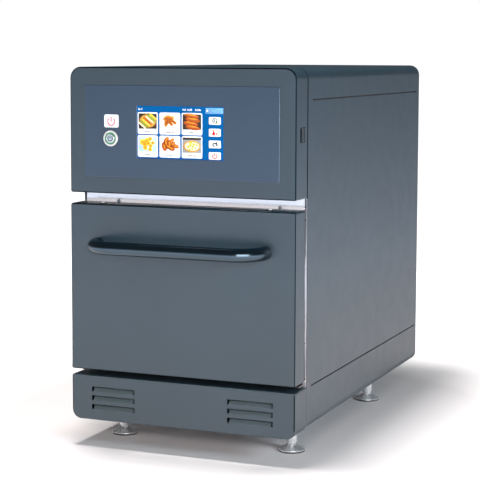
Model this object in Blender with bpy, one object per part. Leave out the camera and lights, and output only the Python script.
"""Countertop speed oven: a high, narrow cabinet with a drop-down door, a control head with a touch screen,
a blown cavity with a microwave feed, and four levelling feet.

Metres, +Z up. The front faces -Y. Pieces are laid out in the cabinet's own coordinates: x from its middle,
d back from the plane of the door's face, and z up from the floor. One empty puts that frame in the world,
so that the origin is at the bottom centre of the whole oven, handle and cable gland included.
"""

import math

import bmesh
import bpy
from mathutils import Matrix, Vector

# Cabinet
body_width = 0.406
body_depth = 0.709
foot_height = 0.050
lower_panel_height = 0.074
lower_panel_drop = 0.0027
door_to_lower_gap = 0.010
door_height = 0.2832
head_to_door_gap = 0.0188
head_height = 0.2111
top_corner_radius = 0.019
bottom_corner_radius = 0.016
fit_gap = 0.0003
running_gap = 0.0003
overrun = 0.002
corner_steps = 6
fine_sides = 32
round_sides = 24
small_sides = 16
coarse_sides = 10
smooth_angle = math.radians(32)
edge_steps = 3
edge_profile = 0.5

# Side panels, with two pressed grooves each
side_sheet = 0.002
side_flange = 0.014
panel_setback = 0.0035
groove_width = 0.0022
groove_depth = 0.0012
groove_setback = 0.022
upper_groove_drop = 0.0517
lower_groove_rise = 0.0726

# Top cover and base pan
lid_sheet = 0.0015
lid_lap = 0.010
lid_seam = 0.0006
base_sheet = 0.002
boss_radius = 0.011
boss_height = 0.016

# Rear panel
rear_sheet = 0.0015
rear_recess = 0.008
rear_lip = 0.012
rear_slot_width = 0.060
rear_slot_height = 0.004
rear_slot_pitch = 0.011
rear_slot_rows = 5
rear_slot_shares = (-0.72, 0.72)
rear_slot_centre_share = 0.26
fan_slot_height = 0.006
fan_slot_pitch = 0.010

# Front fascia, the stainless plate behind the head, the door and the lower panel
fascia_setback = 0.051
fascia_sheet = 0.0015
fascia_inset = 0.004
fascia_return = 0.010
mount_gap = 0.0004
wire_window = (0.200, 0.050)
intake_side_inset = 0.053
intake_height = 0.044

# Cavity
cavity_side_space = 0.045
cavity_height = 0.206
cavity_depth = 0.335
cavity_rise = 0.038
liner_sheet = 0.0015
liner_flange = 0.010
ledge_size = 0.006
rack_ledge_rise = 0.040
ledge_setback = 0.020
return_slot = (0.090, 0.006)
return_slot_pitch = 0.012
return_slot_rows = 6
supply_side_inset = 0.048
supply_height = 0.014
supply_drop = 0.004

# Jet plate
jet_sheet = 0.0015
jet_plenum = 0.030
jet_hole_radius = 0.006
jet_hole_sides = 8
jet_columns = 7
jet_rows = 7
jet_margin = 0.030
wave_collar_radius = 0.046
jet_skirt_setback = 0.018
jet_side_gap = 0.002

# Insulation
insulation_thickness = 0.022
insulation_gap = 0.0005

# Wire rack
rack_bar = 0.005
rack_wire_radius = 0.0015
rack_wires = 9
rack_side_gap = 0.002
rack_front_gap = 0.006
rack_back_gap = 0.015
rack_corner = 0.012
rack_corner_steps = 3

# Upper deck
deck_sheet = 0.0015
deck_lip = 0.012
deck_side_gap = 0.0004

# Door
door_thickness = 0.0425
door_sheet = 0.0015
door_corner_radius = 0.003
door_edge_radius = 0.0018
plug_gap_side = 0.004
plug_gap_top = 0.004
plug_gap_bottom = 0.003
plug_reach = 0.008
seal_width = 0.012
seal_inset = 0.001
pivot_setback = 0.015
pivot_rise = 0.012

# Hinges
bracket_inset = 0.010
bracket_sheet = 0.005
bracket_eye_radius = 0.0065
bracket_neck_above = 0.003
bracket_neck_below = 0.005
bracket_post = 0.004
bracket_base = (0.016, 0.002)
bracket_toe = (0.0205, 0.003)
bracket_toe_rise = 0.0025
pin_radius = 0.004
hinge_slot_gap = 0.001
hinge_slot_radius = 0.0085
hinge_block_rise = 0.032
hinge_block_inset = 0.003

# Door catches
key_inset = 0.012
key_sheet = 0.003
key_height = 0.010
key_reach = 0.0355
key_drop = 0.0352
key_base = (0.010, 0.002, 0.030)
key_slot_gap = 0.0015
key_swing_rise = 0.0065
switch_size = (0.012, 0.040, 0.036)

# Door handle
handle_radius = 0.0112
handle_inset = 0.052
handle_standoff = 0.0485
handle_bend = 0.045
handle_drop = 0.0672
handle_bend_steps = 10
handle_sides = 20
stud_radius = 0.004
stud_length = 0.012

# Screws in the door's top edge
dome_radius = 0.0041
dome_rim = 0.0006
dome_height = 0.0022
shank_radius = 0.002
shank_length = 0.009
dome_setback = 0.0195

# Control head
head_sheet = 0.0015
head_corner_radius = 0.003
head_edge_radius = 0.0024
overlay_inset = 0.0285
overlay_height = 0.153
overlay_sheet = 0.0009
overlay_pocket = 0.0004
overlay_corner = 0.0035
overlay_drop = 0.0303
screen_width = 0.1548
screen_height = 0.0865
screen_recess = 0.0002
screen_glass = 0.004
module_margin = 0.006
module_depth = 0.009
board_post_radius = 0.003
board_post_length = 0.009

# Control board
board_size = (0.158, 0.0016, 0.092)
chip_size = (0.030, 0.004, 0.030)
relay_size = (0.018, 0.014, 0.022)

# Touch key and push button
key_pad_size = (0.0262, 0.0213)
key_pad_corner = 0.003
key_pad_proud = 0.0008
key_pad_gap = 0.0343
key_pad_drop = 0.0897
button_shift = 0.001
button_drop = 0.1186
bezel_radius = 0.0133
bezel_proud = 0.0025
bezel_chamfer = 0.0007
bezel_barrel_radius = 0.0112
bezel_bore_radius = 0.0101
bezel_length = 0.016
light_ring_radius = 0.0098
light_ring_bore = 0.0076
light_ring_depth = 0.008
light_ring_sink = 0.0004
cap_radius = 0.0073
cap_proud = 0.0004
cap_length = 0.015

# Socket in the head's right side
port_height = 0.0249
port_depth = 0.0216
port_setback = 0.0176
port_rise = 0.0914
port_body = 0.011
port_pocket = 0.007
port_wall = 0.0018
port_tongue = (0.006, 0.002, 0.011)

# Lower front panel and its louvres
lower_sheet = 0.0015
louvre_width = 0.0805
louvre_height = 0.0085
louvre_slit = 0.0022
louvre_sink = 0.0045
louvre_pitch = 0.0152
louvre_rows = 3
louvre_inset = 0.0782
louvre_drop = 0.0190
louvre_end = 0.003

# Air filter
filter_side_space = 0.033
filter_depth = 0.010
filter_height = 0.060
filter_rim = 0.006
filter_cells = 6
filter_bar = 0.004
filter_cell_depth = 0.006

# Blower behind the cavity
blower_inset = 0.013
blower_depth = 0.066
blower_height = 0.196
blower_sheet = 0.0015
blower_drop = 0.004
impeller_gap = 0.012
impeller_depth = 0.034
impeller_eye_radius = 0.034
impeller_plate = 0.002
impeller_blades = 10
impeller_blade = 0.002
impeller_hub_radius = 0.010
impeller_front_gap = 0.014
shaft_radius = 0.004
shaft_bore_radius = 0.0055
shaft_engagement = 0.024
heater_ring_gap = 0.018
heater_tube_radius = 0.004
heater_leg_spacing = 0.036
heater_leg_tail = 0.010
heater_leg_radius = 0.0034
heater_sides = 8
motor_radius = 0.044
motor_length = 0.078
motor_flange = (0.110, 0.003)
motor_neck_radius = 0.020
motor_neck = 0.008

# Microwave feed
port_window = (0.074, 0.044)
guide_size = (0.092, 0.190, 0.044)
guide_sheet = 0.0015
guide_front = 0.150
guide_port_share = 0.26
guide_tube_share = 0.74
magnetron_size = (0.088, 0.076, 0.052)
magnetron_fins = 5
magnetron_fin_gap = 0.0035
magnetron_fin_depth = 0.012
magnetron_box = (0.060, 0.050, 0.026)
antenna_radius = 0.008
antenna_length = 0.018
antenna_hole_radius = 0.012
stirrer_radius = 0.030
stirrer_blade = (0.016, 0.0015)
stirrer_root = (0.008, 0.012)
stirrer_blades = 3
stirrer_hub_radius = 0.006
stirrer_drop = 0.014
stirrer_shaft_radius = 0.003
stirrer_motor_radius = 0.024
stirrer_motor_height = 0.022
stirrer_bore_depth = 0.012

# Base compartment
transformer_core = (0.096, 0.064, 0.078)
transformer_coil = (0.060, 0.092, 0.046)
transformer_coil_corner = 0.012
transformer_inset = 0.098
transformer_d = 0.430
capacitor_size = (0.092, 0.052, 0.034)
capacitor_inset = 0.133
capacitor_d = 0.420
capacitor_tab = (0.003, 0.008, 0.010)
capacitor_tab_spacing = 0.026

# Power board on the upper deck
power_board = (0.110, 0.150, 0.0016)
power_board_inset = 0.083
power_board_d = 0.500
power_post = (0.006, 0.008)
power_parts_shares = ((-0.28, -0.3, 0.7), (0.26, -0.28, 1.0), (-0.24, 0.16, 0.85), (0.27, 0.22, 0.55))
power_part_size = (0.036, 0.040, 0.040)

# Cooling fan at the rear
fan_size = 0.119
fan_depth = 0.038
fan_inset = 0.118
fan_rise = 0.130
fan_bore_radius = 0.0555
fan_blade_gap = 0.0025
fan_hub_radius = 0.021
fan_blades = 7
fan_blade = (0.024, 0.002)
fan_blade_tilt = math.radians(32)
fan_blade_bite = 0.003
fan_strut = (0.006, 0.003)
fan_struts = 3
fan_pin_radius = 0.003
fan_pin_length = 0.002
fan_clearance = 0.0015

# Cable gland
gland_reach = 0.012
gland_inset = 0.073
gland_rise = 0.050
gland_radius = 0.013
gland_thread_radius = 0.010
gland_bore = 0.0055
gland_nut = 0.006
gland_tail = 0.012
gland_dome_share = 0.72

# Feet
foot_inset_x = 0.0455
front_foot_d = 0.110
rear_foot_d = 0.530
pad_radius = 0.0225
pad_rim = 0.004
pad_cone_top = 0.0108
pad_neck_radius = 0.010
pad_top = 0.012
stem_radius = 0.0093
stem_waist_radius = 0.0072
stem_waist = 0.003
screw_radius = 0.005
screw_bore_radius = 0.0055
screw_length = 0.028

# Levels and planes that follow from the sizes above
half_width = body_width / 2
cavity_width = body_width - 2 * cavity_side_space
overlay_width = body_width - 2 * overlay_inset
handle_span = body_width - 2 * handle_inset
blower_width = cavity_width - 2 * blower_inset
heater_ring_radius = blower_height / 2 - heater_ring_gap
impeller_radius = heater_ring_radius - impeller_gap
key_pad_x = -screen_width / 2 - key_pad_gap - key_pad_size[0] / 2
button_x = key_pad_x - button_shift
louvre_x = half_width - louvre_inset
fan_x = half_width - fan_inset
gland_x = half_width - gland_inset
transformer_x = transformer_inset - half_width
capacitor_x = half_width - capacitor_inset
power_board_x = power_board_inset - half_width
base_z = foot_height
lower_top_z = base_z + lower_panel_height
door_bottom_z = lower_top_z + door_to_lower_gap
door_top_z = door_bottom_z + door_height
head_bottom_z = door_top_z + head_to_door_gap
top_z = head_bottom_z + head_height
fascia_back = fascia_setback + fascia_sheet
panel_front = fascia_setback + panel_setback
mount_back = fascia_setback - mount_gap
pivot_z = door_bottom_z + pivot_rise
inner_half = half_width - side_sheet
cavity_floor_z = door_bottom_z + cavity_rise
cavity_top_z = cavity_floor_z + cavity_height
liner_front = fascia_back + fit_gap
cavity_back = liner_front + cavity_depth
liner_back = cavity_back + liner_sheet
jacket_half = cavity_width / 2 + liner_sheet + insulation_gap + insulation_thickness
jacket_floor_z = cavity_floor_z - liner_sheet - insulation_gap - insulation_thickness
jacket_top_z = cavity_top_z + liner_sheet + insulation_gap + insulation_thickness
upper_deck_z = jacket_top_z + fit_gap
upper_deck_top_z = upper_deck_z + deck_sheet
base_floor_z = base_z + base_sheet + fit_gap
base_lap_z = base_z + side_sheet + fit_gap + base_sheet
top_lap_z = top_z - side_sheet - fit_gap - lid_sheet
rear_outer = body_depth - rear_recess
rear_inner = rear_outer - rear_sheet
handle_reach = handle_standoff + handle_radius
total_depth = handle_reach + body_depth + gland_reach
front_y = handle_reach - total_depth / 2
fan_z = upper_deck_top_z + fan_rise
hinge_x = half_width - bracket_inset - bracket_sheet / 2
blower_z = cavity_top_z - blower_drop - blower_height / 2
guide_floor_z = upper_deck_top_z + fit_gap
guide_top_z = guide_floor_z + guide_size[2]
guide_port_d = guide_front + guide_size[1] * guide_port_share
guide_tube_d = guide_front + guide_size[1] * guide_tube_share


def clear_scene():
    for old in list(bpy.data.objects):
        bpy.data.objects.remove(old, do_unlink=True)


def make_material(name, colour, roughness, metallic):
    made = bpy.data.materials.new(name)
    made.use_nodes = True
    shader = made.node_tree.nodes["Principled BSDF"]
    shader.inputs["Base Color"].default_value = (*colour, 1.0)
    shader.inputs["Roughness"].default_value = roughness
    shader.inputs["Metallic"].default_value = metallic
    return made


def make_empty(name, place, parent=None):
    made = bpy.data.objects.new(name, None)
    made.empty_display_size = foot_height
    made.location = place
    made.parent = parent
    bpy.context.scene.collection.objects.link(made)
    return made


def arc(centre, radius, start, end, steps=corner_steps):
    """Points of an arc, with its angles in degrees."""
    angles = [math.radians(start + (end - start) * i / steps) for i in range(steps + 1)]
    return [(centre[0] + radius * math.cos(a), centre[1] + radius * math.sin(a)) for a in angles]


def round_box(low, high, bottom_radius, top_radius=None, steps=corner_steps):
    """Outline of a box with rounded corners, anticlockwise from its bottom right."""
    upper = bottom_radius if top_radius is None else top_radius
    (u0, v0), (u1, v1) = low, high
    corners = (
        ((u1 - bottom_radius, v0 + bottom_radius), bottom_radius, -90),
        ((u1 - upper, v1 - upper), upper, 0),
        ((u0 + upper, v1 - upper), upper, 90),
        ((u0 + bottom_radius, v0 + bottom_radius), bottom_radius, 180),
    )
    points = []
    for centre, radius, start in corners:
        points += arc(centre, radius, start, start + 90, steps) if radius else [centre]
    return points


def in_space(axis, u, v, w):
    """An outline's point (u, v) at w along an axis: (d, z) along x, (x, z) along d and (x, d) along z."""
    return {"x": (w, u, v), "d": (u, w, v), "z": (u, v, w)}[axis]


def prism(outline, axis, low, high):
    """An outline pulled along an axis."""
    mesh = bmesh.new()
    face = mesh.faces.new([mesh.verts.new(in_space(axis, u, v, low)) for u, v in outline])
    pulled = bmesh.ops.extrude_face_region(mesh, geom=[face])["geom"]
    shift = Vector(in_space(axis, 0, 0, high - low))
    bmesh.ops.translate(mesh, verts=[g for g in pulled if isinstance(g, bmesh.types.BMVert)], vec=shift)
    return mesh


def box(low, high):
    corners = [(low[0], low[1]), (high[0], low[1]), (high[0], high[1]), (low[0], high[1])]
    return prism(corners, "z", low[2], high[2])


def round_front(mesh, radius):
    """Rounds a mesh's edges that lie in the plane of its front."""
    front = min(v.co.y for v in mesh.verts)
    edges = [e for e in mesh.edges if all(v.co.y < front + fit_gap for v in e.verts)]
    shape = {"offset": radius, "segments": edge_steps, "profile": edge_profile, "affect": "EDGES"}
    bmesh.ops.bevel(mesh, geom=edges, **shape)
    return mesh


def box_at(centre, size):
    half = Vector(size) / 2
    return box(Vector(centre) - half, Vector(centre) + half)


def turned(profile, centre, axis, steps, hollow=False):
    """A profile of (radius, height) points turned about an axis; a hollow one closes on itself."""
    mesh = bmesh.new()
    rings = []
    for radius, height in profile:
        if radius == 0:
            rings.append([mesh.verts.new(in_space(axis, 0, 0, height))] * steps)
            continue
        angles = [2 * math.pi * i / steps for i in range(steps)]
        ring = [in_space(axis, radius * math.cos(a), radius * math.sin(a), height) for a in angles]
        rings.append([mesh.verts.new(p) for p in ring])
    pairs = list(zip(rings, rings[1:])) + ([(rings[-1], rings[0])] if hollow else [])
    for first, second in pairs:
        for i in range(steps):
            j = (i + 1) % steps
            corners = [first[i], first[j], second[j], second[i]]
            mesh.faces.new(list(dict.fromkeys(corners)))
    bmesh.ops.translate(mesh, verts=mesh.verts, vec=Vector(centre))
    return mesh


def rod(radius, centre, axis, low, high, steps=small_sides):
    """A plain cylinder along an axis, from low to high past its centre."""
    return turned([(0, low), (radius, low), (radius, high), (0, high)], centre, axis, steps)


def ring_prism(outer, inner, axis, low, high):
    """Two outlines with as many points, as the wall of a tube."""
    mesh = bmesh.new()
    loops = []
    for outline in (outer, inner):
        for w in (low, high):
            loops.append([mesh.verts.new(in_space(axis, u, v, w)) for u, v in outline])
    outer_low, outer_high, inner_low, inner_high = loops
    count = len(outer)
    for first, second in (
        (outer_low, outer_high),
        (outer_high, inner_high),
        (inner_high, inner_low),
        (inner_low, outer_low),
    ):
        for i in range(count):
            j = (i + 1) % count
            mesh.faces.new((first[i], first[j], second[j], second[i]))
    return mesh


def swept(points, radius, sides):
    """A round tube along points that lie in one level plane."""
    mesh = bmesh.new()
    up = Vector((0, 0, 1))
    rings = []
    for i, point in enumerate(points):
        before, after = points[max(i - 1, 0)], points[min(i + 1, len(points) - 1)]
        side = (Vector(after) - Vector(before)).normalized().cross(up)
        angles = [2 * math.pi * k / sides for k in range(sides)]
        ring = [Vector(point) + radius * (math.cos(a) * side + math.sin(a) * up) for a in angles]
        rings.append([mesh.verts.new(p) for p in ring])
    for first, second in zip(rings, rings[1:]):
        for k in range(sides):
            j = (k + 1) % sides
            mesh.faces.new((first[k], first[j], second[j], second[k]))
    mesh.faces.new(rings[0])
    mesh.faces.new(rings[-1])
    return mesh


def merged(meshes):
    """Several meshes that don't meet, as one."""
    whole = bmesh.new()
    for mesh in meshes:
        data = bpy.data.meshes.new("part_of_a_set")
        bmesh.ops.recalc_face_normals(mesh, faces=mesh.faces)
        mesh.to_mesh(data)
        mesh.free()
        whole.from_mesh(data)
        bpy.data.meshes.remove(data)
    return whole


def add(name, mesh, material, pivot):
    """An object from a mesh in cabinet coordinates, carried by an empty on its joint's axis."""
    bmesh.ops.recalc_face_normals(mesh, faces=mesh.faces)
    origin = Vector(pivot.location) if pivot.parent else Vector((0, 0, 0))
    bmesh.ops.translate(mesh, verts=mesh.verts, vec=-origin)
    data = bpy.data.meshes.new(name)
    mesh.to_mesh(data)
    mesh.free()
    data.shade_smooth()
    data.set_sharp_from_angle(angle=smooth_angle)
    made = bpy.data.objects.new(name, data)
    made.parent = pivot
    bpy.context.scene.collection.objects.link(made)
    if material:
        data.materials.append(material)
    return made


def combine(target, meshes, operation):
    """Cuts meshes from an object or joins them to it; they stay as hidden guides."""
    guide = add(f"{operation.lower()}_guide_{target.name}", merged(meshes), None, target.parent)
    guide.hide_render = True
    guide.display_type = "WIRE"
    step = target.modifiers.new(operation.title(), "BOOLEAN")
    step.operation = operation
    step.solver = "EXACT"
    step.object = guide
    return target


def cut(target, *meshes):
    return combine(target, meshes, "DIFFERENCE")


def fuse(target, *meshes):
    return combine(target, meshes, "UNION")


def sided(outline, side):
    """An outline drawn for the right side, mirrored for the left."""
    return [(side * u, v) for u, v in outline]


def side_name(side):
    return "right" if side > 0 else "left"


def make_side_panels(root, paint):
    """A sheet on each side that turns in over the top and under the base, with its two grooves."""
    top, bottom = top_corner_radius, bottom_corner_radius
    top_centre = (half_width - top, top_z - top)
    bottom_centre = (half_width - bottom, base_z + bottom)
    outer = [(half_width - top - side_flange, top_z)]
    outer += arc(top_centre, top, 90, 0) + arc(bottom_centre, bottom, 0, -90)
    outer += [(half_width - bottom - side_flange, base_z)]
    inner = [(half_width - bottom - side_flange, base_z + side_sheet)]
    inner += arc(bottom_centre, bottom - side_sheet, -90, 0) + arc(top_centre, top - side_sheet, 0, 90)
    inner += [(half_width - top - side_flange, top_z - side_sheet)]
    for side in (-1, 1):
        mesh = prism(sided(outer + inner, side), "d", panel_front, body_depth)
        panel = add(f"side_panel_{side_name(side)}", mesh, paint, root)
        grooves = []
        for z in (top_z - upper_groove_drop, base_z + lower_groove_rise):
            inside, outside = sorted((side * (half_width - groove_depth), side * (half_width + overrun)))
            low = (inside, panel_front + groove_setback, z - groove_width / 2)
            high = (outside, body_depth + overrun, z + groove_width / 2)
            grooves.append(box(low, high))
        cut(panel, *grooves)


def lapped_outline(seam_x, face_z, sheet, up):
    """Section of a flat lid whose edges step behind the side panels' flanges: up is 1, or -1 for the base."""
    step_z = face_z - up * (side_sheet + fit_gap)
    right = [
        (seam_x, face_z),
        (seam_x, step_z),
        (seam_x + lid_lap, step_z),
        (seam_x + lid_lap, step_z - up * sheet),
        (seam_x - sheet, step_z - up * sheet),
        (seam_x - sheet, face_z - up * sheet),
    ]
    return right + [(-u, v) for u, v in reversed(right)]


def make_top_cover(root, paint):
    seam = half_width - top_corner_radius - side_flange - lid_seam
    outline = lapped_outline(seam, top_z, lid_sheet, 1)
    add("top_cover", prism(outline, "d", panel_front, body_depth), paint, root)


def foot_places():
    """Each foot's name and its x and d."""
    x = half_width - foot_inset_x
    return [
        (f"{end}_{side_name(side)}", side * x, d)
        for end, d in (("front", front_foot_d), ("rear", rear_foot_d))
        for side in (-1, 1)
    ]


def make_base_pan(root, zinc):
    """The bottom sheet, with a threaded boss over each foot."""
    seam = half_width - bottom_corner_radius - side_flange - lid_seam
    outline = lapped_outline(seam, base_z, base_sheet, -1)
    pan = add("base_pan", prism(outline, "d", panel_front, body_depth), zinc, root)
    bosses, holes = [], []
    for _, x, d in foot_places():
        bosses.append(rod(boss_radius, (x, d, base_z), "z", base_sheet / 2, boss_height))
        holes.append(rod(screw_bore_radius, (x, d, base_z), "z", -overrun, boss_height + overrun))
    cut(fuse(pan, *bosses), *holes)


def chord(radius, offset):
    return math.sqrt(max(radius**2 - offset**2, 0))


def make_rear_panel(root, paint):
    """A recessed tray across the back, with vents, the fan's grille and the cable gland's hole."""
    margin = side_sheet + mount_gap
    floor_z, ceiling_z = base_lap_z + mount_gap, top_lap_z - mount_gap
    half = half_width - margin
    radius = top_corner_radius - side_sheet
    low, high = (-half, floor_z), (half, ceiling_z)
    tray = prism(round_box(low, high, radius), "d", rear_outer - rear_lip, rear_outer)
    panel = add("rear_panel", tray, paint, root)
    low, high = (-half + rear_sheet, floor_z + rear_sheet), (half - rear_sheet, ceiling_z - rear_sheet)
    outline = round_box(low, high, radius - rear_sheet)
    hollow = prism(outline, "d", rear_outer - rear_lip - overrun, rear_inner)
    holes = []
    for share in rear_slot_shares:
        for row in range(rear_slot_rows):
            z = base_z + (top_z - base_z) * rear_slot_centre_share + row * rear_slot_pitch
            centre = (share * half, rear_outer, z)
            holes.append(box_at(centre, (rear_slot_width, 2 * (rear_sheet + overrun), rear_slot_height)))
    grille_radius = fan_bore_radius - fan_clearance
    for row in range(-int(grille_radius / fan_slot_pitch), int(grille_radius / fan_slot_pitch) + 1):
        half_chord = chord(grille_radius, abs(row) * fan_slot_pitch + fan_slot_height / 2)
        if half_chord > fan_slot_height:
            centre = (fan_x, rear_outer, fan_z + row * fan_slot_pitch)
            holes.append(box_at(centre, (2 * half_chord, 2 * (rear_sheet + overrun), fan_slot_height)))
    gland_z = base_z + gland_rise
    bore, place = gland_thread_radius + running_gap, (gland_x, rear_outer, gland_z)
    holes.append(rod(bore, place, "d", -rear_sheet - overrun, overrun, round_sides))
    cut(cut(panel, hollow), *holes)


def catch_slot_x():
    """Middle of the slots for the door catches."""
    return half_width - key_inset


def make_fascia(root, stainless):
    """The plate at the front: full width beside the door, drawn in behind the head and the lower panel."""
    narrow = half_width - fascia_inset
    low_z, high_z = base_z + fascia_inset, top_z - fascia_inset
    low_radius, high_radius = bottom_corner_radius - side_sheet, top_corner_radius - side_sheet
    step_low, step_high = lower_top_z + fit_gap, head_bottom_z - fit_gap
    right = arc((narrow - low_radius, low_z + low_radius), low_radius, -90, 0)
    right += [(narrow, step_low), (half_width, step_low), (half_width, step_high), (narrow, step_high)]
    right += arc((narrow - high_radius, high_z - high_radius), high_radius, 0, 90)
    outline = right + [(-u, v) for u, v in reversed(right)]
    fascia = add("front_fascia", prism(outline, "d", fascia_setback, fascia_back), stainless, root)
    reach, floor_z, ceiling_z = inner_half - fit_gap, base_lap_z + fit_gap, top_lap_z - fit_gap
    outer = round_box((-reach, floor_z), (reach, ceiling_z), low_radius, high_radius)
    reach, floor_z, ceiling_z = reach - fascia_sheet, floor_z + fascia_sheet, ceiling_z - fascia_sheet
    low_radius, high_radius = low_radius - fascia_sheet, high_radius - fascia_sheet
    inner = round_box((-reach, floor_z), (reach, ceiling_z), low_radius, high_radius)
    fuse(fascia, ring_prism(outer, inner, "d", fascia_back - fascia_sheet / 2, fascia_back + fascia_return))
    through = 2 * (fascia_sheet + overrun)
    half = cavity_width / 2
    front, back = fascia_setback - overrun, fascia_back + overrun
    holes = [box((-half, front, cavity_floor_z), (half, back, cavity_top_z))]
    middle_z = (head_bottom_z + top_z) / 2
    holes.append(box_at((0, fascia_setback, middle_z), (wire_window[0], through, wire_window[1])))
    middle_z = (base_z + lower_top_z) / 2
    intake = (body_width - 2 * intake_side_inset, through, intake_height)
    holes.append(box_at((0, fascia_setback, middle_z), intake))
    key_top = door_top_z - key_drop
    for side in (-1, 1):
        x, gap = side * catch_slot_x(), key_sheet / 2 + key_slot_gap
        low = (x - gap, front, key_top - key_height - key_slot_gap)
        holes.append(box(low, (x + gap, back, key_top + key_swing_rise + key_slot_gap)))
    cut(fascia, *holes)


def make_cavity(root, steel, fibre):
    """The oven's inner box with its flange, ledges, air slots and microwave port, and the wool round it."""
    half = cavity_width / 2
    back = cavity_back + liner_sheet
    low = (-half - liner_sheet, liner_front, cavity_floor_z - liner_sheet)
    high = (half + liner_sheet, back, cavity_top_z + liner_sheet)
    liner = add("cavity_liner", box(low, high), steel, root)
    reach = half + liner_flange
    low = (-reach, liner_front, cavity_floor_z - liner_flange)
    flange = box(low, (reach, liner_front + liner_sheet, cavity_top_z + liner_flange))
    hollow = box((-half, liner_front - overrun, cavity_floor_z), (half, cavity_back, cavity_top_z))
    ledge_front, ledge_back = liner_front + ledge_setback, cavity_back - ledge_size
    ledges = []
    for side in (-1, 1):
        for top in (cavity_floor_z + rack_ledge_rise, cavity_top_z - jet_plenum - jet_sheet - fit_gap):
            low_x, high_x = sorted((side * (half - ledge_size), side * (half + liner_sheet / 2)))
            ledges.append(box((low_x, ledge_front, top - ledge_size), (high_x, ledge_back, top)))
    holes = []
    for row in range(return_slot_rows):
        centre = (0, cavity_back, blower_z + (row - (return_slot_rows - 1) / 2) * return_slot_pitch)
        holes.append(box_at(centre, (return_slot[0], 2 * (liner_sheet + overrun), return_slot[1])))
    supply_z = cavity_top_z - supply_drop - supply_height / 2
    size = (cavity_width - 2 * supply_side_inset, 2 * (liner_sheet + overrun), supply_height)
    holes.append(box_at((0, cavity_back, supply_z), size))
    port = (port_window[0], port_window[1], 2 * (liner_sheet + overrun))
    holes.append(box_at((0, guide_port_d, cavity_top_z), port))
    cut(fuse(cut(fuse(liner, flange), hollow), *ledges), *holes)

    outer = round_box((-jacket_half, jacket_floor_z), (jacket_half, jacket_top_z), 0)
    gap = liner_sheet + insulation_gap
    inner = round_box((-half - gap, cavity_floor_z - gap), (half + gap, cavity_top_z + gap), 0)
    front = liner_front + liner_sheet + fit_gap
    jacket = add("insulation_jacket", ring_prism(outer, inner, "d", front, liner_back), fibre, root)
    window = (port_window[0] + gap, port_window[1] + gap, 2 * insulation_thickness)
    cut(jacket, box_at((0, guide_port_d, jacket_top_z), window))


def make_jet_plate(root, steel):
    """The perforated plate over the food, with a skirt across its front and a collar round the stirrer."""
    half = cavity_width / 2 - jet_side_gap
    floor_z = cavity_top_z - jet_plenum - jet_sheet
    front, back = liner_front + jet_skirt_setback, cavity_back - fit_gap
    sheet = box((-half, front, floor_z), (half, back, floor_z + jet_sheet))
    plate = add("upper_jet_plate", sheet, steel, root)
    skirt = box((-half, front, floor_z + jet_sheet / 2), (half, front + jet_sheet, cavity_top_z - fit_gap))
    place = (0, guide_port_d, floor_z)
    collar_top = jet_plenum + jet_sheet - fit_gap
    collar = rod(wave_collar_radius + jet_sheet, place, "z", jet_sheet / 2, collar_top, fine_sides)
    middle = (front + back) / 2
    holes = [rod(wave_collar_radius, place, "z", -overrun, collar_top + overrun, fine_sides)]
    pitch_x = 2 * (half - jet_margin) / (jet_columns - 1)
    pitch_d = (back - front - 2 * jet_margin) / (jet_rows - 1)
    for column in range(jet_columns):
        for row in range(jet_rows):
            x = (column - (jet_columns - 1) / 2) * pitch_x
            d = middle + (row - (jet_rows - 1) / 2) * pitch_d
            if math.hypot(x, d - guide_port_d) > wave_collar_radius + 2 * jet_hole_radius:
                low, high = -overrun, jet_sheet + overrun
                holes.append(rod(jet_hole_radius, (x, d, floor_z), "z", low, high, jet_hole_sides))
    cut(fuse(plate, skirt, collar), *holes)


def make_rack(pivot, steel):
    """The wire rack on the lower ledges: a square-bar frame with wires from front to back."""
    half = cavity_width / 2 - rack_side_gap
    floor_z = cavity_floor_z + rack_ledge_rise + fit_gap
    front = liner_front + ledge_setback + rack_front_gap
    back = cavity_back - rack_back_gap
    outer = round_box((-half, front), (half, back), rack_corner, steps=rack_corner_steps)
    low, high = (-half + rack_bar, front + rack_bar), (half - rack_bar, back - rack_bar)
    inner = round_box(low, high, rack_corner - rack_bar, steps=rack_corner_steps)
    rack = add("oven_rack", ring_prism(outer, inner, "z", floor_z, floor_z + rack_bar), steel, pivot)
    wires = []
    pitch = 2 * half / (rack_wires + 1)
    for i in range(rack_wires):
        x = -half + (i + 1) * pitch
        place = (x, 0, floor_z + rack_bar - rack_wire_radius)
        low, high = front + rack_bar / 2, back - rack_bar / 2
        wires.append(rod(rack_wire_radius, place, "d", low, high, coarse_sides))
    fuse(rack, *wires)


def make_upper_deck(root, zinc):
    """The sheet over the cavity that the electronics stand on, its sides turned up along the cabinet's."""
    half = inner_half - deck_side_gap
    low = (-half, fascia_back + fascia_return + fit_gap, upper_deck_z)
    back = rear_outer - rear_lip - fit_gap
    sheet = add("upper_deck", box(low, (half, back, upper_deck_z + deck_lip)), zinc, root)
    low = (-half + deck_sheet, fascia_back - overrun, upper_deck_z + deck_sheet)
    trough = box(low, (half - deck_sheet, rear_outer, upper_deck_z + deck_lip + overrun))
    margin = 2 * liner_sheet
    window = (port_window[0] + margin, port_window[1] + margin, 2 * (deck_sheet + overrun))
    cut(sheet, trough, box_at((0, guide_port_d, upper_deck_z), window))


def hinge_clearance(side):
    """The space that the door leaves for a fixed hinge bracket, through its lower rear corner."""
    half = bracket_sheet / 2 + hinge_slot_gap
    low_x, high_x = sorted((side * (hinge_x - half), side * (hinge_x + half)))
    low = (low_x, pivot_setback - hinge_slot_radius, door_bottom_z - overrun)
    return box(low, (high_x, door_thickness + overrun, pivot_z + hinge_slot_radius))


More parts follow.
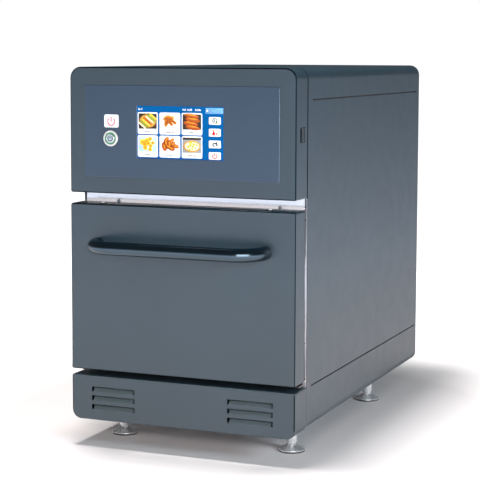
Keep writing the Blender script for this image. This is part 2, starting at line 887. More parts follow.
def make_door(pivot, paint, steel, rubber):
    """The door's painted tray, its stainless inner pan with the choke plug, and the seal."""
    low, high = (-half_width, door_bottom_z), (half_width, door_top_z)
    outline = round_box(low, high, door_corner_radius)
    mesh = round_front(prism(outline, "d", 0, door_thickness), door_edge_radius)
    shell = add("door_shell", mesh, paint, pivot)
    low = (-half_width + door_sheet, door_sheet, door_bottom_z + door_sheet)
    high = (half_width - door_sheet, door_thickness + overrun, door_top_z - door_sheet)
    handle_z = door_top_z - handle_drop
    holes = [hinge_clearance(-1), hinge_clearance(1)]
    for side in (-1, 1):
        place = (side * handle_span / 2, 0, handle_z)
        holes.append(rod(stud_radius + running_gap, place, "d", -overrun, door_sheet + overrun))
        place = (side * handle_span / 2, dome_setback, door_top_z)
        holes.append(rod(shank_radius + running_gap, place, "z", -door_sheet - overrun, overrun))
    cut(cut(shell, box(low, high)), *holes)

    inset = door_sheet + fit_gap
    front, back = door_thickness - door_sheet, door_thickness
    low = (-half_width + inset, front, door_bottom_z + inset)
    pan = add("door_inner_pan", box(low, (half_width - inset, back, door_top_z - inset)), steel, pivot)
    half = cavity_width / 2 - plug_gap_side
    plug_low, plug_high = cavity_floor_z + plug_gap_bottom, cavity_top_z - plug_gap_top
    plug_back = fascia_setback + plug_reach
    plug = box((-half, (front + back) / 2, plug_low), (half, plug_back, plug_high))
    low = (-half + door_sheet, front - overrun, plug_low + door_sheet)
    hollow = box(low, (half - door_sheet, plug_back - door_sheet, plug_high - door_sheet))
    cut(fuse(pan, plug), hollow, hinge_clearance(-1), hinge_clearance(1))

    half = cavity_width / 2 + seal_inset
    floor_z, ceiling_z = cavity_floor_z - seal_inset, cavity_top_z + seal_inset
    inner = round_box((-half, floor_z), (half, ceiling_z), seal_width / 4)
    half, floor_z, ceiling_z = half + seal_width, floor_z - seal_width, ceiling_z + seal_width
    outer = round_box((-half, floor_z), (half, ceiling_z), seal_width)
    add("door_seal", ring_prism(outer, inner, "d", door_thickness + fit_gap, mount_back), rubber, pivot)


def make_hinges(root, pivot, steel, chrome):
    """On each side a bracket on the fascia, a pin through it, and a forked block in the door."""
    for side in (-1, 1):
        name = side_name(side)
        half = bracket_sheet / 2
        low_x, high_x = sorted((side * (hinge_x - half), side * (hinge_x + half)))
        eye = (pivot_setback, pivot_z)
        toe_z = lower_top_z + bracket_toe_rise
        lean = math.degrees(math.asin(bracket_neck_above / bracket_eye_radius))
        dip = math.degrees(math.asin(bracket_neck_below / bracket_eye_radius))
        outline = arc(eye, bracket_eye_radius, lean, 360 - dip, small_sides)
        post_d = mount_back - bracket_post
        outline += [(post_d, pivot_z - bracket_neck_below), (post_d, toe_z), (mount_back, toe_z)]
        outline += [(mount_back, pivot_z + bracket_neck_above)]
        bracket = add(f"hinge_bracket_{name}", prism(outline, "x", low_x, high_x), steel, root)
        centre_x = side * hinge_x
        low = (centre_x - bracket_base[0] / 2, mount_back - bracket_base[1], toe_z)
        base = box(low, (centre_x + bracket_base[0] / 2, mount_back, pivot_z + bracket_neck_above))
        low = (centre_x - bracket_base[0] / 2, mount_back - bracket_toe[0], toe_z)
        high = (centre_x + bracket_base[0] / 2, mount_back - bracket_post / 2, toe_z + bracket_toe[1])
        toe = box(low, high)
        bore_place = (side * hinge_x, pivot_setback, pivot_z)
        bore = pin_radius + running_gap
        fuse(fuse(bracket, base), toe)
        cut(bracket, rod(bore, bore_place, "x", -bracket_sheet, bracket_sheet, round_sides))
        reach = half_width - door_sheet - fit_gap - hinge_x
        pin = rod(pin_radius, bore_place, "x", -reach, reach, round_sides)
        add(f"hinge_pin_{name}", pin, chrome, root)
        low_x, high_x = sorted((side * (hinge_x - reach), side * (hinge_x + reach)))
        floor_z = door_bottom_z + door_sheet + fit_gap
        low = (low_x, hinge_block_inset, floor_z)
        high = (high_x, door_thickness - door_sheet - fit_gap, floor_z + hinge_block_rise)
        block = add(f"hinge_block_{name}", box(low, high), steel, pivot)
        cut(block, hinge_clearance(side))
        cut(block, rod(bore, bore_place, "x", -reach - overrun, reach + overrun, round_sides))


def make_catches(root, pivot, steel, plastic):
    """A key on each side of the door's back, and the interlock switch that it enters."""
    key_top = door_top_z - key_drop
    for side in (-1, 1):
        name = side_name(side)
        x = side * catch_slot_x()
        front = door_thickness + fit_gap
        low = (x - key_sheet / 2, front, key_top - key_height)
        blade = box(low, (x + key_sheet / 2, front + key_reach, key_top))
        key = add(f"catch_key_{name}", blade, steel, pivot)
        middle_z = key_top - key_height / 2
        base = box_at((x, front + key_base[1] / 2, middle_z), key_base)
        fuse(key, base)
        centre = (x, fascia_back + fit_gap + switch_size[1] / 2, middle_z)
        switch = add(f"interlock_switch_{name}", box_at(centre, switch_size), plastic, root)
        gap = key_sheet / 2 + key_slot_gap
        low = (x - gap, fascia_back - overrun, key_top - key_height - key_slot_gap)
        pocket_back = front + key_reach + key_slot_gap
        cut(switch, box(low, (x + gap, pocket_back, key_top + key_swing_rise + key_slot_gap)))


def handle_path():
    """Middle line of the handle, from its left foot on the door to its right one."""
    half, z = handle_span / 2, door_top_z - handle_drop
    bar = -handle_standoff
    corner = bar + handle_bend
    left = arc((-half + handle_bend, corner), handle_bend, 180, 270, handle_bend_steps)
    right = arc((half - handle_bend, corner), handle_bend, 270, 360, handle_bend_steps)
    flat = [(-half, -fit_gap)] + left + right + [(half, -fit_gap)]
    return [(x, d, z) for x, d in flat]


def make_handle(pivot, gloss):
    """A round tube bent back to the door at both ends, with a threaded stud through the door at each."""
    handle = add("door_handle", swept(handle_path(), handle_radius, handle_sides), gloss, pivot)
    studs = []
    for side in (-1, 1):
        place = (side * handle_span / 2, 0, door_top_z - handle_drop)
        studs.append(rod(stud_radius, place, "d", -handle_radius, stud_length))
    fuse(handle, *studs)


def make_door_screws(pivot, chrome):
    """A domed screw over each handle foot, in the door's top edge."""
    for side in (-1, 1):
        profile = [(0, -shank_length), (shank_radius, -shank_length), (shank_radius, fit_gap)]
        profile += [(dome_radius, fit_gap)]
        for u, v in arc((0, 0), 1, 0, 90)[:-1]:
            profile.append((dome_radius * u, fit_gap + dome_rim + dome_height * v))
        profile.append((0, fit_gap + dome_rim + dome_height))
        place = (side * handle_span / 2, dome_setback, door_top_z)
        add(f"door_screw_{side_name(side)}", turned(profile, place, "z", small_sides), chrome, pivot)


def screen_z():
    return top_z - overlay_drop - overlay_height / 2


def overlay_front():
    return overlay_pocket - fit_gap - overlay_sheet


def make_head(root, paint, film, glass, board_green, dark):
    """The control head: a painted housing, its overlay, the touch screen and the board behind it."""
    low, high = (-half_width, head_bottom_z), (half_width, top_z)
    outline = round_box(low, high, head_corner_radius, top_corner_radius)
    mesh = round_front(prism(outline, "d", 0, mount_back), head_edge_radius)
    housing = add("control_housing", mesh, paint, root)
    low = (-half_width + head_sheet, head_bottom_z + head_sheet)
    high = (half_width - head_sheet, top_z - head_sheet)
    outline = round_box(low, high, head_corner_radius - head_sheet, top_corner_radius - head_sheet)
    cut(housing, prism(outline, "d", head_sheet, mount_back + overrun))
    half = overlay_width / 2 + fit_gap
    overlay_top = top_z - overlay_drop
    low, high = (-half, overlay_top - overlay_height - fit_gap), (half, overlay_top + fit_gap)
    pocket = prism(round_box(low, high, overlay_corner), "d", -overrun, overlay_pocket)
    middle = screen_z()
    module_half = Vector((screen_width / 2 + module_margin, 0, screen_height / 2 + module_margin))
    window_half = Vector((screen_width / 2 + fit_gap, 0, screen_height / 2 + fit_gap))
    low = (-window_half.x, -overrun, middle - window_half.z)
    window = box(low, (window_half.x, head_sheet + overrun, middle + window_half.z))
    button_place = (button_x, 0, top_z - button_drop)
    bore_radius = bezel_barrel_radius + running_gap
    bore = rod(bore_radius, button_place, "d", -overrun, head_sheet + overrun, round_sides)
    port_low = (half_width - 2 * head_sheet, port_setback, head_bottom_z + port_rise)
    port_high = (half_width + overrun, port_setback + port_depth, head_bottom_z + port_rise + port_height)
    cut(cut(housing, window, bore, box(port_low, port_high)), pocket)

    low, high = (-overlay_width / 2, overlay_top - overlay_height), (overlay_width / 2, overlay_top)
    front = overlay_front()
    sheet = prism(round_box(low, high, overlay_corner), "d", front, front + overlay_sheet)
    overlay = add("control_overlay", sheet, film, root)
    low = (-window_half.x, front - overrun, middle - window_half.z)
    window = box(low, (window_half.x, overrun, middle + window_half.z))
    bore = rod(bore_radius, button_place, "d", -overrun, overrun, round_sides)
    key_low, key_high = key_pad_box(fit_gap)
    seat = prism(round_box(key_low, key_high, key_pad_corner + fit_gap), "d", -overrun, overrun)
    cut(overlay, window, bore, seat)

    low = (-screen_width / 2, front + screen_recess, middle - screen_height / 2)
    high = (screen_width / 2, head_sheet + screen_glass, middle + screen_height / 2)
    screen = add("touch_screen", box(low, high), glass, root)
    low = (-module_half.x, head_sheet + fit_gap, middle - module_half.z)
    module_back = head_sheet + fit_gap + module_depth
    module = box(low, (module_half.x, module_back, middle + module_half.z))
    posts = []
    for sx in (-1, 1):
        for sz in (-1, 1):
            x, z = sx * (board_size[0] / 2 - module_margin), sz * (board_size[2] / 2 - module_margin)
            place = (x, 0, middle + z)
            start, end = module_back - board_post_radius, module_back + board_post_length
            posts.append(rod(board_post_radius, place, "d", start, end, coarse_sides))
    fuse(fuse(screen, module), *posts)

    board_d = module_back + board_post_length + fit_gap + board_size[1] / 2
    board = add("control_board", box_at((0, board_d, middle), board_size), board_green, root)
    chip = box_at((0, board_d + chip_size[1] / 2, middle), chip_size)
    relays = []
    for i in (-1, 1):
        place = (i * board_size[0] / 3, board_d + relay_size[1] / 2, middle)
        relays.append(box_at(place, relay_size))
    fuse(board, chip, *relays)
    make_port(root, dark)


def key_pad_box(gap):
    """Corners of the touch key's outline, widened by a gap."""
    x, z = key_pad_x, top_z - key_pad_drop
    half_x, half_z = key_pad_size[0] / 2 + gap, key_pad_size[1] / 2 + gap
    return (x - half_x, z - half_z), (x + half_x, z + half_z)


def make_key_pad(root, white):
    low, high = key_pad_box(0)
    front = overlay_front() - key_pad_proud
    outline = round_box(low, high, key_pad_corner)
    add("touch_key", prism(outline, "d", front, overlay_pocket - fit_gap), white, root)


def make_push_button(root, pivot, chrome, green):
    """A metal push button: a fixed bezel and light ring, and a cap that travels in."""
    place = (button_x, 0, top_z - button_drop)
    seat = overlay_front() - fit_gap
    front = seat - bezel_proud
    ring_back = front + light_ring_depth + light_ring_sink
    inner = light_ring_bore + fit_gap
    profile = [
        (bezel_bore_radius, front),
        (bezel_radius - bezel_chamfer, front),
        (bezel_radius, front + bezel_chamfer),
        (bezel_radius, seat),
        (bezel_barrel_radius, seat),
        (bezel_barrel_radius, bezel_length),
        (inner, bezel_length),
        (inner, ring_back + fit_gap),
        (bezel_bore_radius, ring_back + fit_gap),
    ]
    add("power_button_bezel", turned(profile, place, "d", fine_sides, hollow=True), chrome, root)
    low, high = front + light_ring_sink, ring_back
    profile = [(light_ring_radius, low), (light_ring_radius, high)]
    profile += [(light_ring_bore, high), (light_ring_bore, low)]
    add("power_button_ring", turned(profile, place, "d", fine_sides, hollow=True), green, root)
    low = front - cap_proud
    edge = cap_radius - bezel_chamfer
    profile = [(0, low), (edge, low), (cap_radius, low + bezel_chamfer), (cap_radius, low + cap_length)]
    profile += [(0, low + cap_length)]
    add("power_button_cap", turned(profile, place, "d", round_sides), chrome, pivot)


def make_port(root, dark):
    """A recessed socket in the head's right side."""
    outer = half_width - head_sheet
    low = (outer - port_body, port_setback + fit_gap, head_bottom_z + port_rise + fit_gap)
    high_z = head_bottom_z + port_rise + port_height - fit_gap
    high = (outer + head_sheet / 2, port_setback + port_depth - fit_gap, high_z)
    port = add("side_socket", box(low, high), dark, root)
    low = (outer + head_sheet / 2 - port_pocket, low[1] + port_wall, low[2] + port_wall)
    pocket = box(low, (half_width + overrun, high[1] - port_wall, high[2] - port_wall))
    middle_d, middle_z = port_setback + port_depth / 2, head_bottom_z + port_rise + port_height / 2
    tongue = box_at((low[0] + port_tongue[0] / 2 - overrun / 2, middle_d, middle_z), port_tongue)
    fuse(cut(port, pocket), tongue)


def make_lower_panel(root, paint):
    """The panel under the door, whose sides lap the fascia, with two banks of lanced louvres."""
    bottom_z, back = base_z - lower_panel_drop, panel_front - fit_gap
    low, high = (-half_width, bottom_z), (half_width, lower_top_z)
    outline = round_box(low, high, bottom_corner_radius, head_corner_radius)
    mesh = round_front(prism(outline, "d", 0, back), head_edge_radius)
    panel = add("lower_front_panel", mesh, paint, root)
    low = (-half_width + lower_sheet, bottom_z + lower_sheet)
    high = (half_width - lower_sheet, lower_top_z - lower_sheet)
    outline = round_box(low, high, bottom_corner_radius - lower_sheet, head_corner_radius - lower_sheet)
    cut(panel, prism(outline, "d", lower_sheet, back + overrun))
    low = (-half_width + side_sheet, bottom_z + lower_sheet)
    high = (half_width - side_sheet, lower_top_z + overrun)
    lap = round_box(low, high, bottom_corner_radius - side_sheet, 0)
    cut(panel, prism(lap, "d", mount_back, back + overrun))
    openings, tongues = [], []
    for side in (-1, 1):
        for row in range(louvre_rows):
            top = lower_top_z - louvre_drop - row * louvre_pitch
            x = side * louvre_x
            low, high = (x - louvre_width / 2, top - louvre_height), (x + louvre_width / 2, top)
            openings.append(prism(round_box(low, high, 0), "d", -overrun, lower_sheet + overrun))
            leaf = [
                (0, top - louvre_height - louvre_slit / 2),
                (lower_sheet, top - louvre_height - louvre_slit / 2),
                (lower_sheet, top - louvre_height),
                (louvre_sink + lower_sheet, top - louvre_slit),
                (louvre_sink, top - louvre_slit),
                (0, top - louvre_height),
            ]
            half = louvre_width / 2 - louvre_end
            tongues.append(prism(leaf, "x", x - half, x + half))
    fuse(cut(panel, *openings), *tongues)


def make_filter(root, mesh_grey):
    """The washable air filter behind the louvres: a frame with square cells."""
    width, depth, height = body_width - 2 * filter_side_space, filter_depth, filter_height
    middle_z = base_lap_z + 2 * fit_gap + fascia_sheet + height / 2
    front = fascia_back + fit_gap
    low = (-width / 2, front, middle_z - height / 2)
    made = add("air_filter", box(low, (width / 2, front + depth, middle_z + height / 2)), mesh_grey, root)
    cells = []
    pitch = (width - 2 * filter_rim + filter_bar) / filter_cells
    for i in range(filter_cells):
        left = -width / 2 + filter_rim + i * pitch
        low = (left, front - overrun, middle_z - height / 2 + filter_rim)
        high = (left + pitch - filter_bar, front + filter_cell_depth, middle_z + height / 2 - filter_rim)
        cells.append(box(low, high))
    return cut(made, *cells)


def blower_passages(start, end):
    """Holes for the impeller's shaft and the heater's two legs."""
    made = [rod(shaft_bore_radius, (0, 0, blower_z), "d", start, end)]
    for side in (-1, 1):
        made.append(rod(heater_leg_radius + running_gap, heater_leg_place(side), "d", start, end))
    return made


def heater_leg_place(side):
    x = side * heater_leg_spacing / 2
    return (x, 0, blower_z - chord(heater_ring_radius, x))


def make_blower(root, spin, steel, dark, heater):
    """Behind the cavity: the blower's box, the impeller on its shaft, the heater ring and the motor."""
    width, depth, height = blower_width, blower_depth, blower_height
    front = liner_back + fit_gap
    back = front + depth
    low = (-width / 2, front, blower_z - height / 2)
    case = add("blower_box", box(low, (width / 2, back, blower_z + height / 2)), steel, root)
    low = (-width / 2 + blower_sheet, front - overrun, blower_z - height / 2 + blower_sheet)
    hollow = box(low, (width / 2 - blower_sheet, back - blower_sheet, blower_z + height / 2 - blower_sheet))
    cut(cut(case, hollow), *blower_passages(back - blower_sheet - overrun, back + overrun))

    eye = front + impeller_front_gap
    disc = eye + impeller_depth
    shaft_end = back + fit_gap + shaft_engagement
    profile = [(0, eye), (impeller_hub_radius, eye), (impeller_hub_radius, disc), (impeller_radius, disc)]
    profile += [(impeller_radius, disc + impeller_plate), (shaft_radius, disc + impeller_plate)]
    profile += [(shaft_radius, shaft_end), (0, shaft_end)]
    impeller = add("blower_impeller", turned(profile, (0, 0, blower_z), "d", fine_sides), steel, spin)
    blades = []
    for i in range(impeller_blades):
        low = (impeller_eye_radius, eye, -impeller_blade / 2)
        blade = box(low, (impeller_radius - impeller_plate, disc + impeller_plate / 2, impeller_blade / 2))
        turn = Matrix.Rotation(2 * math.pi * i / impeller_blades, 4, "Y")
        bmesh.ops.transform(blade, matrix=Matrix.Translation((0, 0, blower_z)) @ turn, verts=blade.verts)
        blades.append(blade)
    fuse(impeller, *blades)

    ring_d = (eye + disc) / 2
    section = arc((heater_ring_radius, ring_d), heater_tube_radius, 0, 360, heater_sides)
    profile = section[:-1]
    ring = add("heater_ring", turned(profile, (0, 0, blower_z), "d", fine_sides, hollow=True), heater, root)
    tail = back + heater_leg_tail
    legs = []
    for side in (-1, 1):
        legs.append(rod(heater_leg_radius, heater_leg_place(side), "d", ring_d, tail, coarse_sides))
    fuse(ring, *legs)

    flange_front = back + fit_gap
    half = motor_flange[0] / 2
    centre = (0, 0, blower_z)
    low = (-half, flange_front, blower_z - half)
    flange = box(low, (half, flange_front + motor_flange[1], blower_z + half))
    motor = add("blower_motor", flange, dark, root)
    start = flange_front + motor_flange[1] / 2
    end = start + motor_neck + motor_length
    profile = [(0, start), (motor_neck_radius, start), (motor_neck_radius, start + motor_neck)]
    profile += [(motor_radius, start + motor_neck), (motor_radius, end - motor_neck)]
    profile += [(motor_radius - motor_neck, end), (0, end)]
    fuse(motor, turned(profile, centre, "d", round_sides))
    bore = rod(shaft_radius + running_gap, centre, "d", flange_front - overrun, shaft_end + overrun)
    leg_gap = heater_leg_radius + running_gap
    notches = []
    for side in (-1, 1):
        notches.append(rod(leg_gap, heater_leg_place(side), "d", flange_front - overrun, tail))
    cut(motor, bore, *notches)


def make_microwave_feed(root, spin, steel, zinc, dark):
    """The waveguide over the cavity's port, the magnetron on it, and the stirrer with its motor."""
    width, depth, height = guide_size
    low = (-width / 2, guide_front, guide_floor_z)
    guide = add("waveguide", box(low, (width / 2, guide_front + depth, guide_top_z)), zinc, root)
    neck_half = (port_window[0] / 2 - fit_gap, port_window[1] / 2 - fit_gap)
    neck_floor = cavity_top_z + liner_sheet + fit_gap
    low = (-neck_half[0], guide_port_d - neck_half[1], neck_floor)
    neck = box(low, (neck_half[0], guide_port_d + neck_half[1], guide_floor_z + guide_sheet / 2))
    low = (-width / 2 + guide_sheet, guide_front + guide_sheet, guide_floor_z + guide_sheet)
    high = (width / 2 - guide_sheet, guide_front + depth - guide_sheet, guide_top_z - guide_sheet)
    bore_half = (neck_half[0] - guide_sheet, neck_half[1] - guide_sheet)
    low_neck = (-bore_half[0], guide_port_d - bore_half[1], neck_floor - overrun)
    high_neck = (bore_half[0], guide_port_d + bore_half[1], guide_floor_z + height / 2)
    cut(fuse(guide, neck), box(low, high))
    cut(guide, box(low_neck, high_neck))
    place = (0, guide_tube_d, guide_top_z)
    tube_hole = rod(antenna_hole_radius, place, "z", -guide_sheet - overrun, overrun, round_sides)
    bore = stirrer_shaft_radius + running_gap
    shaft_hole = rod(bore, (0, guide_port_d, guide_top_z), "z", -guide_sheet - overrun, overrun)
    cut(guide, tube_hole, shaft_hole)

    width, depth, height = magnetron_size
    floor_z = guide_top_z + fit_gap
    low = (-width / 2, guide_tube_d - depth / 2, floor_z)
    tube = add("magnetron", box(low, (width / 2, guide_tube_d + depth / 2, floor_z + height)), zinc, root)
    half = (magnetron_box[0] / 2, magnetron_box[1] / 2)
    box_low = (-half[0], guide_tube_d - half[1], floor_z + height - guide_sheet)
    box_high = (half[0], guide_tube_d + half[1], floor_z + height + magnetron_box[2])
    place = (0, guide_tube_d, floor_z)
    antenna = rod(antenna_radius, place, "z", -antenna_length, guide_sheet, small_sides)
    fins = []
    pitch = height / (magnetron_fins + 1)
    for i in range(magnetron_fins):
        z = floor_z + (i + 1) * pitch
        for side in (-1, 1):
            low_x, high_x = sorted((side * (width / 2 - magnetron_fin_depth), side * (width / 2 + overrun)))
            low = (low_x, guide_tube_d - depth / 2 - overrun, z - magnetron_fin_gap / 2)
            fins.append(box(low, (high_x, guide_tube_d + depth / 2 + overrun, z + magnetron_fin_gap / 2)))
    cut(fuse(tube, box(box_low, box_high), antenna), *fins)

    blade_z = cavity_top_z - stirrer_drop
    shaft_top = guide_top_z + fit_gap + stirrer_bore_depth
    profile = [(0, blade_z - stirrer_hub_radius), (stirrer_hub_radius, blade_z - stirrer_hub_radius)]
    profile += [(stirrer_hub_radius, blade_z + stirrer_hub_radius / 2)]
    profile += [(stirrer_shaft_radius, blade_z + stirrer_hub_radius / 2)]
    profile += [(stirrer_shaft_radius, shaft_top), (0, shaft_top)]
    centre = (0, guide_port_d, 0)
    stirrer = add("mode_stirrer", turned(profile, centre, "z", small_sides), steel, spin)
    half, root_half, shoulder = stirrer_blade[0] / 2, stirrer_root[0] / 2, stirrer_root[1]
    edge = [(stirrer_hub_radius / 2, root_half), (shoulder, half), (stirrer_radius, half)]
    outline = edge + [(u, -v) for u, v in reversed(edge)]
    for i in range(stirrer_blades):
        blade = prism(outline, "z", -stirrer_blade[1] / 2, stirrer_blade[1] / 2)
        turn = Matrix.Rotation(2 * math.pi * i / stirrer_blades, 4, "Z")
        place = Matrix.Translation((0, guide_port_d, blade_z))
        bmesh.ops.transform(blade, matrix=place @ turn, verts=blade.verts)
        fuse(stirrer, blade)

    floor_z = guide_top_z + fit_gap
    bore_top = shaft_top + fit_gap
    top = floor_z + stirrer_motor_height
    chamfer = motor_neck / 2
    profile = [(0, bore_top), (bore, bore_top), (bore, floor_z), (stirrer_motor_radius, floor_z)]
    profile += [(stirrer_motor_radius, top - chamfer), (stirrer_motor_radius - chamfer, top), (0, top)]
    add("stirrer_motor", turned(profile, centre, "z", round_sides), dark, root)


def make_base_electrics(root, core, zinc):
    """On the base pan: the high-voltage transformer and its capacitor."""
    floor_z = base_floor_z
    width, depth, height = transformer_core
    centre = (transformer_x, transformer_d, floor_z + height / 2)
    made = add("high_voltage_transformer", box_at(centre, transformer_core), core, root)
    width, depth, height = transformer_coil
    low = (transformer_x - width / 2, transformer_d - depth / 2)
    high = (transformer_x + width / 2, transformer_d + depth / 2)
    outline = round_box(low, high, transformer_coil_corner)
    fuse(made, prism(outline, "z", centre[2] - height / 2, centre[2] + height / 2))

    length, width, height = capacitor_size
    low, high = (capacitor_d - width / 2, floor_z), (capacitor_d + width / 2, floor_z + height)
    outline = round_box(low, high, height / 2 - fit_gap)
    can_end = capacitor_x + length / 2
    can = add("high_voltage_capacitor", prism(outline, "x", capacitor_x - length / 2, can_end), zinc, root)
    tabs = []
    for side in (-1, 1):
        place = (can_end, capacitor_d + side * capacitor_tab_spacing / 2, floor_z + height / 2)
        tabs.append(box_at(place, (2 * capacitor_tab[2], capacitor_tab[1], capacitor_tab[0])))
    fuse(can, *tabs)


def make_power_board(root, board_green):
    """The relay board on posts over the upper deck."""
    width, depth, sheet = power_board
    floor_z = upper_deck_top_z + fit_gap
    board_z = floor_z + power_post[1]
    centre = (power_board_x, power_board_d, board_z + sheet / 2)
    made = add("power_board", box_at(centre, power_board), board_green, root)
    posts, parts = [], []
    for sx in (-1, 1):
        for sd in (-1, 1):
            x = power_board_x + sx * (width / 2 - power_post[0])
            d = power_board_d + sd * (depth / 2 - power_post[0])
            size = (power_post[0], power_post[0], power_post[1] + sheet / 2)
            posts.append(box_at((x, d, floor_z + size[2] / 2), size))
    for share_x, share_d, share_z in power_parts_shares:
        x, d = power_board_x + share_x * width, power_board_d + share_d * depth
        size = (power_part_size[0], power_part_size[1], power_part_size[2] * share_z)
        parts.append(box_at((x, d, board_z + (sheet + size[2]) / 2), size))
    fuse(made, *posts)
    fuse(made, *parts)


def make_fan(root, spin, dark, plastic):
    """The cooling fan against the rear panel: a square frame with a spider, and a bladed rotor."""
    back = rear_inner - fit_gap
    front = back - fan_depth
    centre = (fan_x, 0, fan_z)
    half = fan_size / 2
    low, high = (fan_x - half, fan_z - half), (fan_x + half, fan_z + half)
    outline = round_box(low, high, fan_size - 2 * fan_bore_radius)
    frame = add("cooling_fan_frame", prism(outline, "d", front, back), dark, root)
    cut(frame, rod(fan_bore_radius, centre, "d", front - overrun, back + overrun, fine_sides))
    struts = []
    for i in range(fan_struts):
        reach = fan_bore_radius + fan_blade_gap
        low = (fan_hub_radius / 2, front, -fan_strut[0] / 2)
        strut = box(low, (reach, front + fan_strut[1], fan_strut[0] / 2))
        turn = Matrix.Rotation(2 * math.pi * i / fan_struts + math.pi / 2, 4, "Y")
        place = Matrix.Translation(centre)
        bmesh.ops.transform(strut, matrix=place @ turn, verts=strut.verts)
        struts.append(strut)
    hub = rod(fan_hub_radius, centre, "d", front, front + fan_strut[1] + fan_pin_length / 2, round_sides)
    fuse(fuse(frame, *struts), hub)
    pin_front = front + fan_strut[1] + fan_pin_length / 2 - fan_pin_length
    cut(frame, rod(fan_pin_radius + running_gap, centre, "d", pin_front - fit_gap, back))
    rotor_front = front + fan_strut[1] + fan_pin_length / 2 + fit_gap
    rotor_back = back - fan_clearance
    profile = [(0, pin_front), (fan_pin_radius, pin_front), (fan_pin_radius, rotor_front)]
    profile += [(fan_hub_radius, rotor_front), (fan_hub_radius, rotor_back), (0, rotor_back)]
    rotor = add("cooling_fan_rotor", turned(profile, centre, "d", round_sides), plastic, spin)
    tip = fan_bore_radius - fan_blade_gap
    blades = []
    for i in range(fan_blades):
        low = (fan_hub_radius - fan_blade_bite, -fan_blade[0] / 2, -fan_blade[1] / 2)
        blade = box(low, (tip, fan_blade[0] / 2, fan_blade[1] / 2))
        tilt = Matrix.Rotation(fan_blade_tilt, 4, "X")
        turn = Matrix.Rotation(2 * math.pi * i / fan_blades, 4, "Y")
        place = Matrix.Translation((fan_x, (rotor_front + rotor_back) / 2, fan_z))
        bmesh.ops.transform(blade, matrix=place @ turn @ tilt, verts=blade.verts)
        blades.append(blade)
    fuse(rotor, *blades)


def make_gland(root, plastic):
    """The mains cable's gland through the rear panel, open along its bore."""
    place = (gland_x, rear_outer, base_z + gland_rise)
    reach = rear_recess + gland_reach
    profile = [
        (gland_bore, -rear_sheet - gland_tail),
        (gland_thread_radius, -rear_sheet - gland_tail),
        (gland_thread_radius, fit_gap),
        (gland_radius, fit_gap),
        (gland_radius, gland_nut),
        (gland_radius * gland_dome_share, reach),
        (gland_bore, reach),
    ]
    add("cable_gland", turned(profile, place, "d", round_sides, hollow=True), plastic, root)


def make_feet(root, chrome):
    """Four levelling feet: a dished pad with a collar, and a stem that screws into the base pan's boss."""
    for name, x, d in foot_places():
        drop = make_empty(f"foot_{name}_axis", (x, d, 0), root)
        place = (x, d, 0)
        collar = pad_top - fit_gap
        profile = [(0, 0), (pad_radius, 0), (pad_radius, pad_rim)]
        profile += [(pad_neck_radius, pad_cone_top), (pad_neck_radius, collar), (0, collar)]
        add(f"foot_pad_{name}", turned(profile, place, "z", fine_sides), chrome, drop)
        shoulder = base_z - fit_gap
        profile = [(0, pad_top), (stem_waist_radius, pad_top), (stem_waist_radius, pad_top + stem_waist)]
        profile += [(stem_radius, pad_top + stem_waist), (stem_radius, shoulder), (screw_radius, shoulder)]
        profile += [(screw_radius, shoulder + screw_length), (0, shoulder + screw_length)]
        add(f"foot_stem_{name}", turned(profile, place, "z", round_sides), chrome, drop)


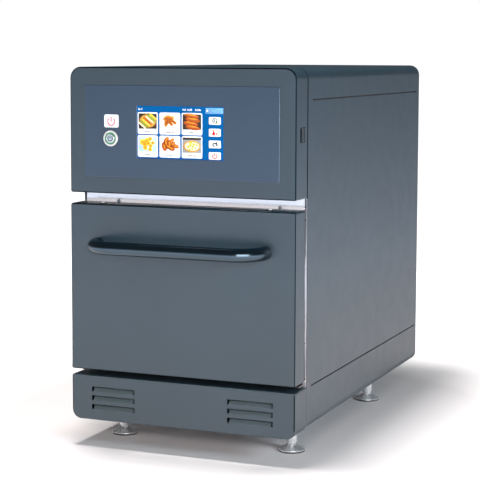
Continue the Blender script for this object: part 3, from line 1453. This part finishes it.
def make_oven():
    paint = make_material("slate_paint", (0.070, 0.105, 0.130), 0.38, 0.0)
    head_film = make_material("overlay_film", (0.075, 0.108, 0.160), 0.30, 0.0)
    stainless = make_material("stainless", (0.78, 0.78, 0.79), 0.25, 1.0)
    cavity_steel = make_material("cavity_steel", (0.66, 0.66, 0.67), 0.35, 1.0)
    zinc = make_material("zinc_sheet", (0.60, 0.62, 0.63), 0.42, 1.0)
    chrome = make_material("chrome", (0.85, 0.86, 0.88), 0.08, 1.0)
    gloss = make_material("gloss_black", (0.012, 0.016, 0.020), 0.12, 0.0)
    rubber = make_material("seal_rubber", (0.05, 0.05, 0.05), 0.70, 0.0)
    dark = make_material("dark_plastic", (0.025, 0.027, 0.030), 0.45, 0.0)
    white = make_material("white_key", (0.82, 0.82, 0.83), 0.35, 0.0)
    green = make_material("green_lens", (0.30, 0.75, 0.40), 0.30, 0.0)
    glass = make_material("screen_glass", (0.02, 0.16, 0.55), 0.10, 0.0)
    fibre = make_material("mineral_wool", (0.72, 0.70, 0.62), 0.95, 0.0)
    board_green = make_material("circuit_board", (0.03, 0.22, 0.10), 0.50, 0.0)
    heater = make_material("heater_sheath", (0.22, 0.20, 0.19), 0.50, 1.0)
    core = make_material("laminated_core", (0.20, 0.19, 0.18), 0.55, 0.6)
    mesh_grey = make_material("filter_mesh", (0.35, 0.36, 0.37), 0.60, 0.3)
    grey = make_material("grey_plastic", (0.30, 0.31, 0.33), 0.50, 0.0)

    root = make_empty("oven_frame", (0, front_y, 0))
    door_axis = make_empty("door_axis", (0, pivot_setback, pivot_z), root)
    button_axis = make_empty("button_axis", (button_x, 0, top_z - button_drop), root)
    rack_place = (0, liner_front + ledge_setback, cavity_floor_z + rack_ledge_rise)
    rack_axis = make_empty("rack_axis", rack_place, root)
    blower_axis = make_empty("blower_axis", (0, cavity_back, blower_z), root)
    stirrer_axis = make_empty("stirrer_axis", (0, guide_port_d, cavity_top_z), root)
    fan_axis = make_empty("fan_axis", (fan_x, rear_inner, fan_z), root)

    make_side_panels(root, paint)
    make_top_cover(root, paint)
    make_base_pan(root, zinc)
    make_rear_panel(root, paint)
    make_fascia(root, stainless)
    make_cavity(root, cavity_steel, fibre)
    make_jet_plate(root, cavity_steel)
    make_rack(rack_axis, chrome)
    make_upper_deck(root, zinc)
    make_door(door_axis, paint, cavity_steel, rubber)
    make_hinges(root, door_axis, stainless, chrome)
    make_catches(root, door_axis, stainless, grey)
    make_handle(door_axis, gloss)
    make_door_screws(door_axis, chrome)
    make_head(root, paint, head_film, glass, board_green, dark)
    make_key_pad(root, white)
    make_push_button(root, button_axis, chrome, green)
    make_lower_panel(root, paint)
    make_filter(root, mesh_grey)
    make_blower(root, blower_axis, cavity_steel, dark, heater)
    make_microwave_feed(root, stirrer_axis, cavity_steel, zinc, dark)
    make_base_electrics(root, core, zinc)
    make_power_board(root, board_green)
    make_fan(root, fan_axis, dark, grey)
    make_gland(root, dark)
    make_feet(root, chrome)


clear_scene()
make_oven()
